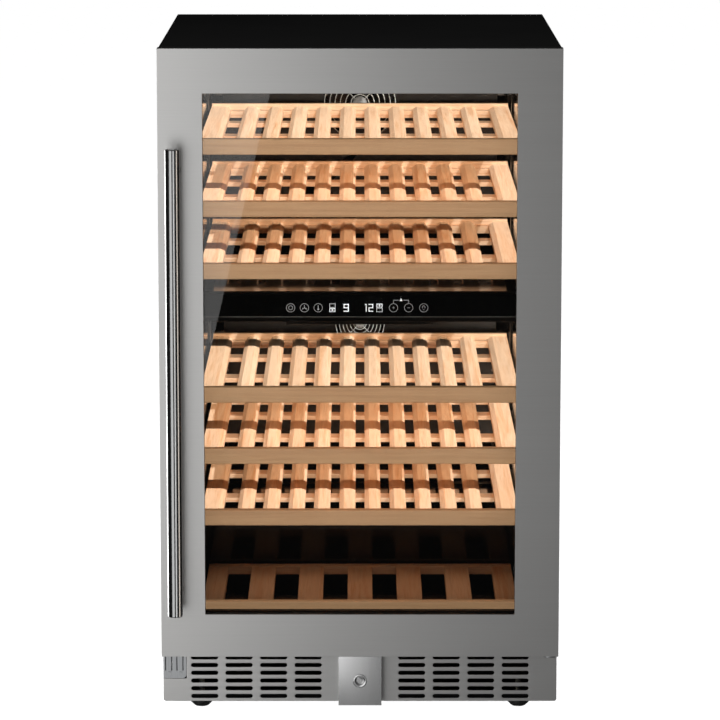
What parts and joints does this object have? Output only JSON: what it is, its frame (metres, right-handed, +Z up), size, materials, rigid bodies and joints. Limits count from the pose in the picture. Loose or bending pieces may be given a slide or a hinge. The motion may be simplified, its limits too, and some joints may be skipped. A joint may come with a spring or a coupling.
{
  "type": "dual-zone wine cooler",
  "caption": "Freestanding dual-zone wine cooler: stainless door frame with full glass and a long tube handle, sliding beech shelves, touch panel between zones, slotted plinth with lock.",
  "frame": {"origin": "on the floor, at the centre of the footprint's bounding box (the handle's projection included)", "axes": "+Z up, -Y towards the user (door side), +X to the right as seen from the front"},
  "size_m": [0.595, 0.728, 1.01],
  "materials": {
    "satin_steel": "satin stainless steel",
    "polished_steel": "polished stainless steel",
    "zinc_steel": "bright zinc-plated sheet",
    "black_shell": "matte black powder coat",
    "black_plastic": "satin black moulded plastic",
    "gloss_panel": "glossy black touch panel",
    "foam": "rigid polyurethane foam",
    "rubber": "soft black rubber",
    "beech": "oiled beech",
    "aluminium": "bare fins",
    "lamp": "translucent lamp cover",
    "tinted_glass": "clear tinted glass"
  },
  "bodies": {
    "cabinet": {"kick_plate": "satin_steel", "lock_housing": "polished_steel", "rear_panel": "zinc_steel", "spare_hinge_seat": "zinc_steel", "upper_hinge": "zinc_steel", "lower_hinge": "zinc_steel", "base_plate": "black_shell", "outer_shell": "black_shell", "machine_cover": "black_shell", "compressor": "black_shell", "upper_liner": "black_plastic", "lower_liner": "black_plastic", "front_frame": "black_plastic", "upper_duct_cover": "black_plastic", "lower_duct_cover": "black_plastic", "upper_fan_guard": "black_plastic", "lower_fan_guard": "black_plastic", "upper_fan_motor": "black_plastic", "lower_fan_motor": "black_plastic", "condenser_fan_shroud": "black_plastic", "upper_shelf_rack": "black_plastic", "lower_shelf_rack": "black_plastic", "control_panel": "gloss_panel", "insulation_foam": "foam", "zone_divider": "foam", "power_gland": "rubber", "bottom_shelf": "beech", "upper_evaporator": "aluminium", "lower_evaporator": "aluminium", "condenser": "aluminium", "upper_light": "lamp", "lower_light": "lamp"},
    "door": {"door_frame": "satin_steel", "door_inner_frame": "black_plastic", "outer_glass": "tinted_glass", "glass_spacer": "black_plastic", "inner_glass": "tinted_glass", "door_gasket": "rubber", "door_handle": "polished_steel"},
    "shelf_1": {"shelf_1_front": "beech", "shelf_1_deck": "beech"},
    "shelf_2": {"shelf_2_front": "beech", "shelf_2_deck": "beech"},
    "shelf_3": {"shelf_3_front": "beech", "shelf_3_deck": "beech"},
    "shelf_4": {"shelf_4_front": "beech", "shelf_4_deck": "beech"},
    "shelf_5": {"shelf_5_front": "beech", "shelf_5_deck": "beech"},
    "shelf_6": {"shelf_6_front": "beech", "shelf_6_deck": "beech"},
    "upper_fan_rotor": {"upper_fan_rotor": "black_plastic"},
    "lower_fan_rotor": {"lower_fan_rotor": "black_plastic"},
    "condenser_fan_rotor": {"condenser_fan_rotor": "black_plastic"},
    "lock_cylinder": {"lock_cylinder": "polished_steel"},
    "lock_bolt": {"lock_bolt": "zinc_steel"},
    "front_left_foot": {"front_left_foot": "rubber"},
    "front_right_foot": {"front_right_foot": "rubber"},
    "rear_left_foot": {"rear_left_foot": "rubber"},
    "rear_right_foot": {"rear_right_foot": "rubber"}
  },
  "joints": [
    {"name": "door_hinge", "type": "hinge", "parent": "cabinet", "child": "door", "pos_m": [0.285, -0.297, 0.55], "axis": [0, 0, 1], "range_deg": [0, 110]},
    {"name": "shelf_1_slide", "type": "slide", "parent": "cabinet", "child": "shelf_1", "axis": [0, -1, 0], "range_m": [0, 0.3]},
    {"name": "shelf_2_slide", "type": "slide", "parent": "cabinet", "child": "shelf_2", "axis": [0, -1, 0], "range_m": [0, 0.3]},
    {"name": "shelf_3_slide", "type": "slide", "parent": "cabinet", "child": "shelf_3", "axis": [0, -1, 0], "range_m": [0, 0.3]},
    {"name": "shelf_4_slide", "type": "slide", "parent": "cabinet", "child": "shelf_4", "axis": [0, -1, 0], "range_m": [0, 0.3]},
    {"name": "shelf_5_slide", "type": "slide", "parent": "cabinet", "child": "shelf_5", "axis": [0, -1, 0], "range_m": [0, 0.3]},
    {"name": "shelf_6_slide", "type": "slide", "parent": "cabinet", "child": "shelf_6", "axis": [0, -1, 0], "range_m": [0, 0.3]},
    {"name": "upper_fan_spin", "type": "hinge", "parent": "cabinet", "child": "upper_fan_rotor", "pos_m": [0, 0.287, 0.871], "axis": [0, 1, 0], "continuous": true},
    {"name": "lower_fan_spin", "type": "hinge", "parent": "cabinet", "child": "lower_fan_rotor", "pos_m": [0, 0.287, 0.512], "axis": [0, 1, 0], "continuous": true},
    {"name": "condenser_fan_spin", "type": "hinge", "parent": "cabinet", "child": "condenser_fan_rotor", "pos_m": [-0.14, 0.133, 0.12], "axis": [0, 1, 0], "continuous": true},
    {"name": "lock_turn", "type": "hinge", "parent": "cabinet", "child": "lock_cylinder", "pos_m": [0, -0.291, 0.056], "axis": [0, -1, 0], "range_deg": [0, 90]},
    {"name": "lock_bolt_slide", "type": "slide", "parent": "cabinet", "child": "lock_bolt", "axis": [0, 0, 1], "range_m": [0, 0.01]},
    {"name": "front_left_foot_turn", "type": "hinge", "parent": "cabinet", "child": "front_left_foot", "pos_m": [-0.2415, -0.223, 0.02], "axis": [0, 0, 1], "continuous": true},
    {"name": "front_right_foot_turn", "type": "hinge", "parent": "cabinet", "child": "front_right_foot", "pos_m": [0.2415, -0.223, 0.02], "axis": [0, 0, 1], "continuous": true},
    {"name": "rear_left_foot_turn", "type": "hinge", "parent": "cabinet", "child": "rear_left_foot", "pos_m": [-0.2415, 0.31, 0.02], "axis": [0, 0, 1], "continuous": true},
    {"name": "rear_right_foot_turn", "type": "hinge", "parent": "cabinet", "child": "rear_right_foot", "pos_m": [0.2415, 0.31, 0.02], "axis": [0, 0, 1], "continuous": true}
  ],
  "couplings": [
    {"joint": "shelf_1_slide", "follows": "door_hinge", "m_per_rad": 0.065},
    {"joint": "shelf_2_slide", "follows": "door_hinge", "m_per_rad": 0.065},
    {"joint": "shelf_3_slide", "follows": "door_hinge", "m_per_rad": 0.065},
    {"joint": "shelf_4_slide", "follows": "door_hinge", "m_per_rad": 0.065},
    {"joint": "shelf_5_slide", "follows": "door_hinge", "m_per_rad": 0.065},
    {"joint": "shelf_6_slide", "follows": "door_hinge", "m_per_rad": 0.065},
    {"joint": "lock_bolt_slide", "follows": "lock_turn", "m_per_rad": 0.00636}
  ]
}
